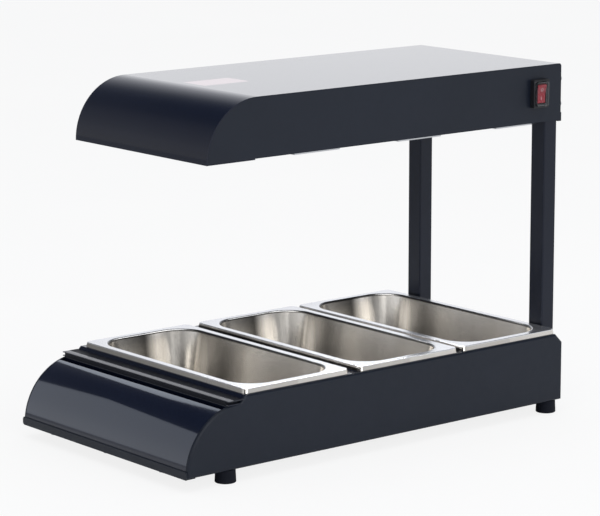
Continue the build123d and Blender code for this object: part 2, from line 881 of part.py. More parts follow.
def switch_housing():
    """Black switch body in the side's cut-out, with a deep bezel, a rocker pocket and three terminals."""
    panel_face = canopy_width / 2
    with BuildPart() as housing:
        with BuildSketch(Plane.YZ.offset(panel_face)):
            with Locations((switch_y, switch_z)):
                RectangleRounded(switch_width, switch_height, switch_corner)
        extrude(amount=switch_proud)
        fillet(housing.faces().sort_by(Axis.X)[-1].edges(), switch_edge_radius)
        with Locations((panel_face, switch_y, switch_z)):
            Box(
                switch_body_depth,
                switch_body_width,
                switch_body_height,
                align=(Align.MAX, Align.CENTER, Align.CENTER),
            )
        with Locations((switch_face, switch_y, switch_z)):
            Box(
                switch_pocket_depth,
                switch_window_width,
                switch_window_height,
                align=(Align.MAX, Align.CENTER, Align.CENTER),
                mode=Mode.SUBTRACT,
            )
        with Locations([
            (panel_face - switch_body_depth, switch_y, switch_z + step * terminal_spacing)
            for step in (-1, 0, 1)
        ]):
            Box(terminal_length, sheet, terminal_width, align=(Align.MAX, Align.CENTER, Align.CENTER))
        with BuildSketch(Plane.XZ.offset(-switch_y)):
            with Locations((pivot_x, switch_z)):
                Circle(pivot_radius)
        extrude(amount=switch_window_width / 2, both=True)
    return housing.part


def rocker():
    """Red rocker at rest in its off position, with a shallow V face and a bore for its pivot."""
    tilt = math.radians(rocker_tilt)
    half_height = switch_window_height / 2 - rocker_clearance - rocker_thickness * math.sin(tilt)
    half_width = switch_window_width / 2 - rocker_clearance
    crown = half_height * math.tan(tilt)
    with BuildPart() as key:
        with BuildSketch(Plane.XZ.offset(-switch_y)):
            with BuildLine():
                Polyline(
                    (pivot_x - rocker_thickness / 2, switch_z - half_height),
                    (pivot_x + rocker_thickness / 2 + crown, switch_z - half_height),
                    (pivot_x + rocker_thickness / 2, switch_z),
                    (pivot_x + rocker_thickness / 2 + crown, switch_z + half_height),
                    (pivot_x - rocker_thickness / 2, switch_z + half_height),
                    close=True,
                )
            make_face()
        extrude(amount=half_width, both=True)
        fillet(key.edges().filter_by(Axis.Y).group_by(Axis.X)[-1], switch_edge_radius)
        with BuildSketch(Plane.XZ.offset(-switch_y)):
            with Locations((pivot_x, switch_z)):
                Circle(pivot_radius + pivot_clearance)
        extrude(amount=half_width, both=True, mode=Mode.SUBTRACT)
    return key.part.rotate(Axis((pivot_x, switch_y, switch_z), (0, 1, 0)), rocker_tilt)


def switch_cap():
    """Clear splash cap over the rocker, seated on the face of the bezel."""
    width = switch_width - 2 * cap_margin
    height = switch_height - 2 * cap_margin
    with BuildPart() as cap:
        with BuildSketch(Plane.YZ.offset(switch_face)):
            with Locations((switch_y, switch_z)):
                RectangleRounded(width, height, cap_corner)
        extrude(amount=cap_proud)
        fillet(cap.faces().sort_by(Axis.X)[-1].edges(), cap_edge_radius)
        offset(amount=-cap_wall, openings=cap.faces().sort_by(Axis.X)[0])
    return cap.part


def cable_gland():
    """Gland through the rear panel: flange, dome nut outside, lock nut inside, bored for a cable."""
    level = canopy_bottom + gland_level
    with BuildPart() as gland:
        with BuildSketch(Plane((gland_side, canopy_rear, level), z_dir=(0, 1, 0))):
            RegularPolygon(gland_radius, 6)
        extrude(amount=gland_collar)
        with BuildSketch(Plane((gland_side, canopy_rear + gland_collar, level), z_dir=(0, 1, 0))):
            Circle(gland_dome_radius)
        extrude(amount=gland_reach - gland_collar, taper=gland_taper)
        with BuildSketch(Plane((gland_side, canopy_rear, level), z_dir=(0, -1, 0))):
            Circle(gland_thread_radius)
        extrude(amount=sheet + gland_collar)
        with BuildSketch(Plane((gland_side, canopy_rear - sheet, level), z_dir=(0, -1, 0))):
            RegularPolygon(gland_radius, 6)
        extrude(amount=gland_collar)
        with BuildSketch(Plane((gland_side, canopy_rear, level), z_dir=(0, 1, 0))):
            Circle(gland_bore_radius)
        extrude(amount=2 * gland_reach, both=True, mode=Mode.SUBTRACT)
    return gland.part


def terminal_block():
    """Wiring block on the canopy tray, between the middle and the rear lamp."""
    center = (lamp_centers[-2] + lamp_centers[-1]) / 2
    pole_width = block_length / block_poles
    first = block_side - (block_poles - 1) / 2 * pole_width
    with BuildPart() as block:
        with Locations((block_side, center, tray_top)):
            Box(block_length, block_width, block_height, align=(Align.CENTER, Align.CENTER, Align.MIN))
        with Locations([
            (first + (index + 0.5) * pole_width, center, tray_top + block_height)
            for index in range(block_poles - 1)
        ]):
            Box(block_groove, block_width, block_groove, mode=Mode.SUBTRACT)
        with Locations([
            (first + index * pole_width, center, tray_top + block_height) for index in range(block_poles)
        ]):
            Cylinder(screw_head_radius, block_groove, mode=Mode.SUBTRACT)
    return block.part


def wiring_loom():
    """Sleeved leads: one from the gland down to the terminal block, one from the block to the switch."""
    center = (lamp_centers[-2] + lamp_centers[-1]) / 2
    level = canopy_bottom + gland_level
    landing = tray_top + block_height
    with BuildPart() as loom:
        with BuildLine():
            gland_lead = FilletPolyline(
                (gland_side, canopy_rear - sheet - gland_collar, level),
                (gland_side, center, level),
                (block_side - block_length / 4, center, level),
                (block_side - block_length / 4, center, landing),
                radius=loom_bend,
            )
        with BuildSketch(Plane(gland_lead @ 0, z_dir=gland_lead % 0)):
            Circle(loom_radius)
        sweep(path=gland_lead)
        with BuildLine():
            switch_lead = FilletPolyline(
                (block_side + block_length / 4, center, landing),
                (block_side + block_length / 4, center, level),
                (loom_side, center, level),
                (loom_side, switch_y, level),
                (switch_terminal_tip, switch_y, level),
                radius=loom_bend,
            )
        with BuildSketch(Plane(switch_lead @ 0, z_dir=switch_lead % 0)):
            Circle(loom_radius)
        sweep(path=switch_lead)
    return loom.part


os.makedirs("parts", exist_ok=True)

for side, side_name in side_names.items():
    save(base_side(side), f"base_side_{side_name}")
    save(canopy_side(side), f"canopy_side_{side_name}")
    save(post(side), f"post_{side_name}")
    save(post_cap(side), f"post_cap_{side_name}")
save(front_shell(), "front_shell")
save(front_lip(), "front_lip")
save(deck(), "deck")
save(deck_brace(0), "deck_brace_front")
save(deck_brace(1), "deck_brace_rear")
save(rear_panel(), "rear_panel")
save(bottom_plate(), "bottom_plate")
for foot_name, place in foot_places().items():
    save(foot(place), foot_name)
save(foot_screws(), "foot_screws")
save(base_screws(), "base_screws")
for station, center in zip(station_names, pan_centers):
    save(pan(center), f"pan_{station}")
save(post_bolts(), "post_bolts")
save(canopy_cover(), "canopy_cover")
save(canopy_rear_panel(), "canopy_rear_panel")
save(canopy_rear_lip(), "canopy_rear_lip")
save(canopy_tray(), "canopy_tray")
save(crossbar(), "canopy_crossbar")
for station, center in zip(station_names, lamp_centers):
    save(lamp_reflector(center), f"reflector_{station}")
    save(lamp_tube(center), f"lamp_tube_{station}")
    save(lamp_holders(center), f"lamp_holders_{station}")
    save(lamp_guard(center), f"lamp_guard_{station}")
save(switch_housing(), "switch_housing")
save(rocker(), "switch_rocker")
save(switch_cap(), "switch_cap")
save(cable_gland(), "cable_gland")
save(canopy_screws(), "canopy_screws")
save(terminal_block(), "terminal_block")
save(wiring_loom(), "wiring_loom")
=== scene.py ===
import math

import bmesh
import bpy
from mathutils import Matrix, Vector


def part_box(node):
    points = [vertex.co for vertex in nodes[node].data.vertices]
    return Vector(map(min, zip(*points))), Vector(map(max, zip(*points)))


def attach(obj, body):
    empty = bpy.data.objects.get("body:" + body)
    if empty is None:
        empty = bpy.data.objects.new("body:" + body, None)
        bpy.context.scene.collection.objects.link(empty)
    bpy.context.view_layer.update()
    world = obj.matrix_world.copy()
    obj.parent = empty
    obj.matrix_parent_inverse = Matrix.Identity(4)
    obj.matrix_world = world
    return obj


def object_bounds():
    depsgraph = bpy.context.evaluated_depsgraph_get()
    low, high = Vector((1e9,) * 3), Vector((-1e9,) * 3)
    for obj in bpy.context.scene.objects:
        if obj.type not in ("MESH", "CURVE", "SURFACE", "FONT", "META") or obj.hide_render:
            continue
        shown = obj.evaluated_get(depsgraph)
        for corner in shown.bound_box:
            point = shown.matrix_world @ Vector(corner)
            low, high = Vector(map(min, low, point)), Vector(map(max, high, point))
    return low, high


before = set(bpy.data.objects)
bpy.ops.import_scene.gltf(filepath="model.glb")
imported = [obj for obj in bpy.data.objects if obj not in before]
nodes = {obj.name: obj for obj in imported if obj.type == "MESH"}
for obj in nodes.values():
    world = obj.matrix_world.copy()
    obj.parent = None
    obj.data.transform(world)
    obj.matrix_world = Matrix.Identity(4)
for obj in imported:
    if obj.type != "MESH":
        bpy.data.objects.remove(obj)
cad_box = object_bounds()

# Heat lamp food warmer, in metres and in the CAD's frame: the curved fronts face -Y, the switch is at +X

mm = 0.001
pan_names = ("front", "middle", "rear")
base_front = cad_box[0][1]
base_side = cad_box[1][0]
pan_boxes = [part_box(f"pan_{pan_name}") for pan_name in pan_names]
pan_middles = [(low[1] + high[1]) / 2 for low, high in pan_boxes]
rim_top = pan_boxes[0][1][2]
white = (1.0, 1.0, 1.0)


# Nodes of a shader

def add_node(tree, kind, inputs=None, **settings):
    node = tree.nodes.new(kind)
    for key, value in settings.items():
        setattr(node, key, value)
    for key, value in (inputs or {}).items():
        node.inputs[key].default_value = value
    return node


def feed(tree, value, entry):
    """Gives a node's input another node's output or a plain value."""
    if isinstance(value, bpy.types.NodeSocket):
        tree.links.new(value, entry)
    else:
        entry.default_value = value


def math_of(tree, operation, *values):
    node = add_node(tree, "ShaderNodeMath", operation=operation)
    for value, entry in zip(values, node.inputs):
        feed(tree, value, entry)
    return node.outputs["Value"]


def axes_of(tree, vector):
    """The X, Y and Z parts of a vector."""
    node = add_node(tree, "ShaderNodeSeparateXYZ")
    tree.links.new(vector, node.inputs["Vector"])
    return node.outputs["X"], node.outputs["Y"], node.outputs["Z"]


def share_along(tree, vector, way):
    """How far a vector points along a way."""
    node = add_node(tree, "ShaderNodeVectorMath", operation="DOT_PRODUCT")
    node.inputs[1].default_value = way
    tree.links.new(vector, node.inputs[0])
    return node.outputs["Value"]


def scaled(tree, colour, factor):
    node = add_node(tree, "ShaderNodeVectorMath", operation="SCALE")
    feed(tree, colour, node.inputs[0])
    tree.links.new(factor, node.inputs["Scale"])
    return node.outputs["Vector"]


def mixed(tree, share, under, over):
    """Mix of two colours: under where share is 0, over where it is 1."""
    node = add_node(tree, "ShaderNodeMix", data_type="RGBA")
    feed(tree, share, node.inputs["Factor"])
    feed(tree, under, node.inputs[6])
    feed(tree, over, node.inputs[7])
    return node.outputs[2]


def mixed_shaders(tree, share, under, over):
    node = add_node(tree, "ShaderNodeMixShader")
    tree.links.new(share, node.inputs["Fac"])
    tree.links.new(under, node.inputs[1])
    tree.links.new(over, node.inputs[2])
    return node.outputs["Shader"]


def all_hold(tree, tests):
    """1 where every test (value, comparison, limit) holds, else 0."""
    product = None
    for value, comparison, limit in tests:
        holds = math_of(tree, comparison, value, limit)
        product = holds if product is None else math_of(tree, "MULTIPLY", product, holds)
    return product


def place_coords(tree, scale=(1.0, 1.0, 1.0)):
    """Object coordinates in metres, scaled."""
    coords = add_node(tree, "ShaderNodeTexCoord")
    mapping = add_node(tree, "ShaderNodeMapping", {"Scale": scale})
    tree.links.new(coords.outputs["Object"], mapping.inputs["Vector"])
    return mapping.outputs["Vector"]


def noise(tree, scale, detail=3.0, roughness=0.5, stretch=(1.0, 1.0, 1.0)):
    node = add_node(tree, "ShaderNodeTexNoise", {"Scale": scale, "Detail": detail, "Roughness": roughness})
    tree.links.new(place_coords(tree, stretch), node.inputs["Vector"])
    return node.outputs["Fac"]


def ramp(tree, source, stops):
    """Colour ramp over a factor; stops are (position, rgb)."""
    node = add_node(tree, "ShaderNodeValToRGB")
    elements = node.color_ramp.elements
    while len(elements) < len(stops):
        elements.new(0.5)
    for element, (position, rgb) in zip(elements, stops):
        element.position = position
        element.color = (*rgb, 1.0)
    tree.links.new(source, node.inputs["Fac"])
    return node.outputs["Color"]


def spread(tree, source, low, high, start=0.3, end=0.7):
    """Maps the range start..end to low..high, and clamps."""
    limits = {"From Min": start, "From Max": end, "To Min": low, "To Max": high}
    node = add_node(tree, "ShaderNodeMapRange", limits)
    tree.links.new(source, node.inputs["Value"])
    return node.outputs["Result"]


def bump(tree, shader, height, strength):
    node = add_node(tree, "ShaderNodeBump", {"Strength": strength, "Distance": 0.2 * mm})
    tree.links.new(height, node.inputs["Height"])
    tree.links.new(node.outputs["Normal"], shader.inputs["Normal"])


# Kinds of material

def srgb(r, g, b):
    """8-bit display colour to linear."""
    def one(value):
        value = value / 255
        return value / 12.92 if value <= 0.04045 else ((value + 0.055) / 1.055) ** 2.4
    return (one(r), one(g), one(b))


def new_material(name):
    """Node material with a Principled shader: (material, node tree, shader)."""
    mat = bpy.data.materials.new(name)
    mat.use_nodes = True
    tree = mat.node_tree
    return mat, tree, tree.nodes["Principled BSDF"]


def painted(name, dark, light, roughness, grain, coat, coat_roughness, index):
    """Sheet-metal paint: faint tone drift, fine orange peel and an even clear layer."""
    mat, tree, shader = new_material(name)
    drift = noise(tree, 6.0, detail=4.0, roughness=0.6)
    tree.links.new(ramp(tree, drift, [(0.3, dark), (0.7, light)]), shader.inputs["Base Color"])
    wear = noise(tree, 90.0, detail=4.0, roughness=0.6)
    tree.links.new(spread(tree, wear, roughness * 0.85, roughness * 1.2), shader.inputs["Roughness"])
    peel = noise(tree, 900.0, detail=2.0, roughness=0.5)
    bump(tree, shader, peel, grain)
    shader.inputs["IOR"].default_value = index
    shader.inputs["Coat Weight"].default_value = coat
    shader.inputs["Coat Roughness"].default_value = coat_roughness
    shader.inputs["Coat IOR"].default_value = index
    return mat


def metal(name, dark, light, rough_low, rough_high, stretch=(1.0, 1.0, 1.0), streak_scale=12.0, grain=0.06):
    """Bare metal with streaks drawn out along one direction."""
    mat, tree, shader = new_material(name)
    streaks = noise(tree, streak_scale, detail=5.0, roughness=0.65, stretch=stretch)
    tree.links.new(ramp(tree, streaks, [(0.3, dark), (0.7, light)]), shader.inputs["Base Color"])
    tree.links.new(spread(tree, streaks, rough_low, rough_high), shader.inputs["Roughness"])
    shader.inputs["Metallic"].default_value = 1.0
    fine = noise(tree, 140.0, detail=3.0, roughness=0.5, stretch=stretch)
    bump(tree, shader, fine, grain)
    return mat


def plastic(name, dark, light, roughness, grain, grain_scale=1400.0, index=1.45):
    """Moulded plastic or rubber with a fine skin."""
    mat, tree, shader = new_material(name)
    drift = noise(tree, 30.0, detail=3.0, roughness=0.6)
    tree.links.new(ramp(tree, drift, [(0.3, dark), (0.7, light)]), shader.inputs["Base Color"])
    tree.links.new(spread(tree, drift, roughness * 0.9, roughness * 1.15), shader.inputs["Roughness"])
    skin = noise(tree, grain_scale, detail=2.0, roughness=0.5)
    bump(tree, shader, skin, grain)
    shader.inputs["IOR"].default_value = index
    return mat


panel_paint = painted(
    "panel_paint", srgb(19, 26, 38), srgb(24, 31, 44),
    roughness=0.42, grain=0.10, coat=0.2, coat_roughness=0.25, index=1.33,
)
gloss_paint = painted(
    "gloss_paint", srgb(19, 25, 42), srgb(23, 29, 46),
    roughness=0.10, grain=0.010, coat=1.0, coat_roughness=0.05, index=1.30,
)
step_paint = painted(
    "step_paint", srgb(20, 25, 38), srgb(24, 29, 43),
    roughness=0.22, grain=0.03, coat=1.0, coat_roughness=0.12, index=1.36,
)
cover_paint = painted(
    "cover_paint", srgb(20, 26, 43), srgb(24, 30, 47),
    roughness=0.12, grain=0.010, coat=1.0, coat_roughness=0.06, index=1.30,
)
post_paint = painted(
    "post_paint", srgb(17, 23, 38), srgb(21, 27, 42),
    roughness=0.38, grain=0.10, coat=0.2, coat_roughness=0.2, index=1.33,
)

pan_steel = metal(
    "pan_steel", srgb(224, 219, 211), srgb(243, 239, 233),
    rough_low=0.20, rough_high=0.28, stretch=(1.0, 1.0, 0.15),
)
zinc_sheet = metal(
    "zinc_sheet", srgb(140, 143, 146), srgb(176, 178, 180),
    rough_low=0.35, rough_high=0.5, streak_scale=60.0,
)
mirror_sheet = metal(
    "mirror_sheet", srgb(205, 206, 208), srgb(222, 223, 225),
    rough_low=0.12, rough_high=0.2, stretch=(0.2, 1.0, 1.0),
)
bright_wire = metal(
    "bright_wire", srgb(190, 192, 196), srgb(210, 212, 215),
    rough_low=0.12, rough_high=0.2, streak_scale=80.0,
)
fastener_zinc = metal(
    "fastener_zinc", srgb(140, 142, 145), srgb(170, 172, 175),
    rough_low=0.25, rough_high=0.4, streak_scale=200.0,
)
tungsten = metal(
    "tungsten", srgb(120, 118, 116), srgb(150, 148, 145),
    rough_low=0.3, rough_high=0.45, streak_scale=400.0,
)
# Dark colour painted as the shade in the screws' cross recesses
painted_recess_shade = metal(
    "painted_recess_shade", srgb(22, 22, 24), srgb(34, 34, 37),
    rough_low=0.5, rough_high=0.7, streak_scale=300.0,
)

black_plastic = plastic(
    "black_plastic", srgb(20, 21, 25), srgb(27, 28, 33),
    roughness=0.42, grain=0.15,
)
foot_rubber = plastic(
    "foot_rubber", srgb(12, 16, 26), srgb(17, 21, 32),
    roughness=0.7, grain=0.3, index=1.3,
)
red_plastic = plastic(
    "red_plastic", srgb(150, 16, 34), srgb(170, 22, 42),
    roughness=0.22, grain=0.02,
)
# Dark plastic of the step's riser, also used as painted shade on the step sheet's rear part
riser_black_and_painted_shade = plastic(
    "riser_black_and_painted_shade", srgb(10, 14, 25), srgb(14, 18, 30),
    roughness=0.5, grain=0.1, index=1.3,
)
mark_white = plastic(
    "mark_white", srgb(226, 226, 224), srgb(238, 238, 236),
    roughness=0.4, grain=0.05,
)
terminal_plastic = plastic(
    "terminal_plastic", srgb(214, 212, 204), srgb(226, 224, 216),
    roughness=0.5, grain=0.1,
)
ceramic = plastic(
    "ceramic", srgb(222, 218, 208), srgb(236, 232, 222),
    roughness=0.6, grain=0.12,
)
loom_sleeve = plastic(
    "loom_sleeve", srgb(30, 30, 33), srgb(48, 48, 52),
    roughness=0.75, grain=0.6, grain_scale=2600.0,
)

clear_plastic, tree, shader = new_material("clear_plastic")
haze = noise(tree, 160.0, detail=3.0, roughness=0.6)
tree.links.new(spread(tree, haze, 0.06, 0.16), shader.inputs["Roughness"])
shader.inputs["Base Color"].default_value = (0.95, 0.96, 0.98, 1.0)
shader.inputs["Transmission Weight"].default_value = 1.0
shader.inputs["IOR"].default_value = 1.3

quartz, tree, shader = new_material("quartz")
haze = noise(tree, 90.0, detail=3.0, roughness=0.6)
amber = ramp(tree, haze, [(0.3, srgb(236, 214, 190)), (0.7, srgb(248, 232, 214))])
tree.links.new(amber, shader.inputs["Base Color"])
tree.links.new(spread(tree, haze, 0.04, 0.12), shader.inputs["Roughness"])
shader.inputs["Transmission Weight"].default_value = 0.9
shader.inputs["IOR"].default_value = 1.45


def cover_base(mat, share, rgb):
    """Covers a material's base colour with another where share is 1."""
    entry = mat.node_tree.nodes["Principled BSDF"].inputs["Base Color"]
    covered = mixed(mat.node_tree, share, entry.links[0].from_socket, (*rgb, 1.0))
    mat.node_tree.links.new(covered, entry)


def tone_base(mat, factor):
    """Makes a material's base colour darker by a factor."""
    entry = mat.node_tree.nodes["Principled BSDF"].inputs["Base Color"]
    toned = scaled(mat.node_tree, entry.links[0].from_socket, factor)
    mat.node_tree.links.new(toned, entry)


# A blank pale label on the front part of the canopy's top, as a change of colour in its paint
label_middle = (-4 * mm, -141 * mm, 443 * mm)
label_half = (21 * mm, 34 * mm, 4 * mm)
tree = cover_paint.node_tree
label_tests = []
for place, middle, half in zip(axes_of(tree, place_coords(tree)), label_middle, label_half):
    distance = math_of(tree, "ABSOLUTE", math_of(tree, "SUBTRACT", place, middle))
    label_tests.append((distance, "LESS_THAN", half))
cover_base(cover_paint, all_hold(tree, label_tests), srgb(206, 176, 180))

# Where a point lies on its own pan: across Y from the pan's middle, and the turn around that middle
tree = pan_steel.node_tree
pan_x, pan_y, pan_z = axes_of(tree, place_coords(tree))
own_middle = pan_middles[0]
for near_middle, far_middle in zip(pan_middles, pan_middles[1:]):
    past = math_of(tree, "GREATER_THAN", pan_y, (near_middle + far_middle) / 2)
    own_middle = math_of(tree, "MULTIPLY_ADD", past, far_middle - near_middle, own_middle)
across = math_of(tree, "SUBTRACT", pan_y, own_middle)
from_middle = math_of(tree, "ABSOLUTE", across)
pan_turn = math_of(tree, "ARCTAN2", across, math_of(tree, "MULTIPLY", pan_x, -1.0))

# Reflections seen in the photo's pan walls, painted into their colour: tone by degrees from the left end
# The stops are painted reflection tones, not streaks in the steel
streaks = (
    (-180, 0.70), (-30, 0.50), (-9, 0.18), (2, 0.06), (9, 1.00), (19, 0.16),
    (28, 1.00), (34, 0.32), (42, 0.36), (58, 0.80), (80, 1.00), (180, 0.80),
)
turn_share = spread(tree, pan_turn, 0.0, 1.0, start=-math.pi, end=math.pi)
reflection_tone_stops = [(0.5 + degrees / 360, (level, level, level)) for degrees, level in streaks]
tone_base(pan_steel, ramp(tree, turn_share, reflection_tone_stops))

# Painted shade on the rims' turned-down skirts where pans meet; the one at the very front stays bright
skirt_low = rim_top - 6.2 * mm
skirt_high = rim_top - 2.8 * mm
skirt_front = base_front + 96.25 * mm
skirt_distance = 79.0 * mm
skirt_facing = 0.7
skirt_tone = 0.12
facing = add_node(tree, "ShaderNodeNewGeometry")
facing_y = math_of(tree, "ABSOLUTE", axes_of(tree, facing.outputs["Normal"])[1])
skirt = all_hold(tree, (
    (pan_z, "GREATER_THAN", skirt_low), (pan_z, "LESS_THAN", skirt_high),
    (pan_y, "GREATER_THAN", skirt_front), (from_middle, "GREATER_THAN", skirt_distance),
    (facing_y, "GREATER_THAN", skirt_facing),
))
tone_base(pan_steel, spread(tree, skirt, 1.0, skirt_tone, start=0.0, end=1.0))

# The pans' flat rims take a paler colour over the walls' painted tones
rim_level = rim_top - 1.4 * mm
rim_blend = 0.8 * mm
rim_share = spread(tree, pan_z, 0.0, 1.0, start=rim_level, end=rim_level + rim_blend)
cover_base(pan_steel, rim_share, srgb(226, 227, 230))

# Painted shade: a thin dark line on the mouths' rounded edges, between rim and wall
mouth_low = rim_top - 2.7 * mm
mouth_high = rim_top - 0.2 * mm
mouth_half_length = 157.0 * mm
mouth_half_width = 75.5 * mm
mouth_shade_tone = 0.22
mouth = all_hold(tree, (
    (pan_z, "GREATER_THAN", mouth_low), (pan_z, "LESS_THAN", mouth_high),
    (math_of(tree, "ABSOLUTE", pan_x), "LESS_THAN", mouth_half_length),
    (from_middle, "LESS_THAN", mouth_half_width),
))
tone_base(pan_steel, spread(tree, mouth, 1.0, mouth_shade_tone, start=0.0, end=1.0))


# Materials of the CAD pieces

pieces_of = (
    (panel_paint, (
        "base_side_left", "base_side_right", "front_lip", "rear_panel",
        "canopy_side_left", "canopy_side_right", "canopy_rear_panel", "canopy_rear_lip",
    )),
    (gloss_paint, ("front_shell", "deck")),
    (cover_paint, ("canopy_cover",)),
    (post_paint, ("post_left", "post_right")),
    (zinc_sheet, ("deck_brace_front", "deck_brace_rear", "bottom_plate", "canopy_tray", "canopy_crossbar")),
    (fastener_zinc, ("foot_screws", "base_screws", "post_bolts", "canopy_screws")),
    (foot_rubber, ("foot_front_left", "foot_front_right", "foot_rear_left", "foot_rear_right")),
    (black_plastic, ("post_cap_left", "post_cap_right", "switch_housing", "cable_gland")),
    (red_plastic, ("switch_rocker",)),
    (clear_plastic, ("switch_cap",)),
    (terminal_plastic, ("terminal_block",)),
    (loom_sleeve, ("wiring_loom",)),
    (pan_steel, [f"pan_{pan_name}" for pan_name in pan_names]),
    (mirror_sheet, [f"reflector_{pan_name}" for pan_name in pan_names]),
    (quartz, [f"lamp_tube_{pan_name}" for pan_name in pan_names]),
    (ceramic, [f"lamp_holders_{pan_name}" for pan_name in pan_names]),
    (bright_wire, [f"lamp_guard_{pan_name}" for pan_name in pan_names]),
)
for material, node_names in pieces_of:
    for node_name in node_names:
        for material_slot in nodes[node_name].material_slots:
            material_slot.material = material


# Added pieces

def skinned(name, loops, material, body, closed=False, capped=()):
    """Mesh through loops of points, riding on a body; closed joins the last loop to the first."""
    cells = bmesh.new()
    rows = [[cells.verts.new(spot) for spot in loop] for loop in loops]
    next_rows = rows[1:] + rows[:1] if closed else rows[1:]
    for before, after in zip(rows, next_rows):
        for i in range(len(before)):
            j = (i + 1) % len(before)
            cells.faces.new((before[i], before[j], after[j], after[i]))
    for row in capped:
        cells.faces.new(rows[row])
    bmesh.ops.recalc_face_normals(cells, faces=cells.faces)
    cells.normal_update()
    mesh = bpy.data.meshes.new(name)
    cells.to_mesh(mesh)
    cells.free()
    mesh.materials.append(material)
    piece = bpy.data.objects.new(name, mesh)
    bpy.context.collection.objects.link(piece)
    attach(piece, body)
    return piece


def smooth(piece, angle=35.0):
    """Smooth shading with sharp edges kept."""
    limit = math.radians(angle)
    cells = bmesh.new()
    cells.from_mesh(piece.data)
    for face in cells.faces:
        face.smooth = True
    for edge in cells.edges:
        edge.smooth = len(edge.link_faces) == 2 and edge.calc_face_angle() < limit
    cells.to_mesh(piece.data)
    cells.free()


def arc_points(middle, radius, start, end, count):
    """Points on an arc in a plane; angles in degrees."""
    turns = [math.radians(start + (end - start) * i / (count - 1)) for i in range(count)]
    return [(middle[0] + radius * math.cos(turn), middle[1] + radius * math.sin(turn)) for turn in turns]


def swept(name, outline, half_length, material):
    """Closed (y, z) outline drawn out along X."""
    layers = 24
    places = [half_length * (2 * layer / layers - 1) for layer in range(layers + 1)]
    loops = [[(x, y, z) for y, z in outline] for x in places]
    piece = skinned(name, loops, material, "frame", capped=(0, -1))
    smooth(piece)
    return piece


# The step over the base's front: a thin flat sheet with a rounded front edge, and a dark riser below it
sheet_half = base_side - 0.7 * mm
sheet_thickness = 1.2 * mm
sheet_top = rim_top - 9.5 * mm
sheet_foot = sheet_top - sheet_thickness
sheet_front = base_front + 61.3 * mm
sheet_rear = base_front + 83.85 * mm
shade_start = base_front + 70.75 * mm
riser_half = base_side - 5.3 * mm
riser_front = sheet_front + 0.15 * mm
riser_rear = sheet_rear - 2.0 * mm
riser_foot = rim_top - 15.5 * mm

edge_radius = sheet_thickness / 2
edge_round = arc_points((sheet_front + edge_radius, sheet_top - edge_radius), edge_radius, 90.0, 270.0, 9)
sheet_outline = [(sheet_rear, sheet_top), (shade_start, sheet_top)] + edge_round + [(sheet_rear, sheet_foot)]
step_sheet = swept("step_sheet", sheet_outline, sheet_half, step_paint)

# Painted shade: the sheet's rear part has the riser's dark material, standing for the front pan's shade
step_sheet.data.materials.append(riser_black_and_painted_shade)
for face in step_sheet.data.polygons:
    if face.normal.z > 0.9 and face.center.y > shade_start:
        face.material_index = 1

riser_outline = [
    (riser_rear, sheet_foot), (riser_front, sheet_foot), (riser_front, riser_foot), (riser_rear, riser_foot),
]
swept("step_riser", riser_outline, riser_half, riser_black_and_painted_shade)


# Painted shade for the recesses in the screws' heads: thin raised dark crosses with sloping sides
head_radius = 3.8 * mm
cross_reach = 2.1 * mm
cross_half_width = 0.45 * mm
cross_lift = 0.06 * mm
arm_end_share = 0.8
top_share = 0.88


def cross_mark(name, middle, outward):
    side = outward.orthogonal().normalized()
    other = outward.cross(side)
    corners = []
    for quarter in range(4):
        turn = math.radians(90 * quarter)
        along = side * math.cos(turn) + other * math.sin(turn)
        sideways = (other * math.cos(turn) - side * math.sin(turn)) * cross_half_width
        corners.append(along * cross_half_width - sideways)
        corners.append(along * cross_reach - sideways * arm_end_share)
        corners.append(along * cross_reach + sideways * arm_end_share)
    lower = [middle + corner for corner in corners]
    upper = [middle + corner * top_share + outward * cross_lift for corner in corners]
    skinned(name, (lower, upper), painted_recess_shade, "frame", capped=(-1,))


def head_tops(node_name, outward):
    """Middles of the round head tops of a screw node, found from its own points."""
    to_world = nodes[node_name].matrix_world
    spots = [to_world @ vert.co for vert in nodes[node_name].data.vertices]
    level = max(spot.dot(outward) for spot in spots)
    groups = []
    for spot in spots:
        if spot.dot(outward) < level - 0.05 * mm:
            continue
        for group in groups:
            if (group[0] - spot).length < 2 * head_radius + mm:
                group.append(spot)
                break
        else:
            groups.append([spot])
    middles = []
    for group in groups:
        low = [min(spot[axis] for spot in group) for axis in range(3)]
        high = [max(spot[axis] for spot in group) for axis in range(3)]
        middles.append((Vector(low) + Vector(high)) / 2)
    return middles


backward = Vector((0.0, 1.0, 0.0))
downward = Vector((0.0, 0.0, -1.0))
for node_name, outward in (("canopy_screws", backward), ("base_screws", downward)):
    for number, spot in enumerate(head_tops(node_name, outward)):
        cross_mark(f"{node_name}_recess_{number + 1}", spot, outward)

# Filament coils inside the lamp tubes
coil_turns = 110
coil_steps = 10
coil_radius = 1.5 * mm
coil_half = 88.0 * mm
wire_radius = 0.22 * mm
tube_radius = 5.0 * mm
for pan_name in pan_names:
    low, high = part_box(f"lamp_tube_{pan_name}")
    tube_y = (low[1] + high[1]) / 2
    tube_z = low[2] + tube_radius
    curve = bpy.data.curves.new(f"filament_{pan_name}", "CURVE")
    curve.dimensions = "3D"
    curve.bevel_depth = wire_radius
    curve.bevel_resolution = 1
    line = curve.splines.new("POLY")
    total = coil_turns * coil_steps
    line.points.add(total)
    for i in range(total + 1):
        turn = math.tau * i / coil_steps
        x = -coil_half + 2 * coil_half * i / total
        y = tube_y + coil_radius * math.cos(turn)
        z = tube_z + coil_radius * math.sin(turn)
        line.points[i].co = (x, y, z, 1.0)
    curve.materials.append(tungsten)
    filament = bpy.data.objects.new(f"filament_{pan_name}", curve)
    bpy.context.collection.objects.link(filament)
    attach(filament, "frame")

# Plain off and on marks on the rocker's two faces: a ring on the tilted one, a bar on the upright one
rocker_y = 266.25 * mm
mark_sink = 0.05 * mm
mark_lift = 0.12 * mm

